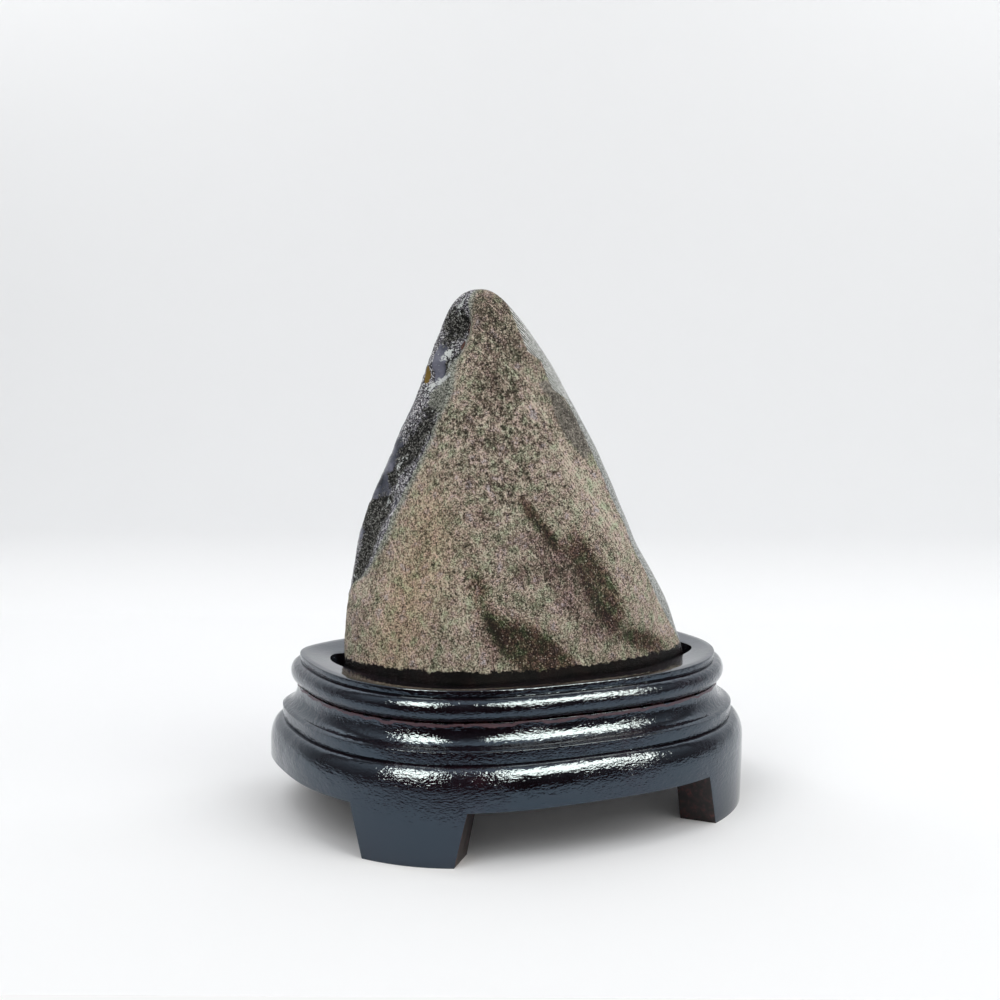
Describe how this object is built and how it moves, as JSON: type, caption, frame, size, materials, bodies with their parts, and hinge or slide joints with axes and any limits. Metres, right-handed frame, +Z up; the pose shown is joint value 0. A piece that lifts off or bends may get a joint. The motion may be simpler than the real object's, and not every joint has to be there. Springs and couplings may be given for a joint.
{
  "type": "rough amethyst on stand",
  "caption": "Upright wedge of amethyst geode with a ground outer face and a crystal-lined hollow, standing in a recess of a moulded two-tier lacquered wood stand on short feet.",
  "frame": {"origin": "on the floor, at the middle of the bounding box of the whole object", "axes": "+Z up, X along the stand's long axis, +Y towards the crystals and -Y towards the ground outer face"},
  "size_m": [0.1604, 0.1228, 0.1708],
  "materials": {
    "ground_rock": "ground smooth and matt on the outside, polished quartz and agate on the rim",
    "amethyst": "clear to cloudy purple quartz with flat glossy crystal faces",
    "lacquered_wood": "black to dark red-brown high-gloss lacquer with a slight orange peel"
  },
  "bodies": {
    "root": {"stone": "ground_rock", "crystals": "amethyst", "upper_tier": "lacquered_wood", "lower_tier": "lacquered_wood"}
  },
  "joints": []
}
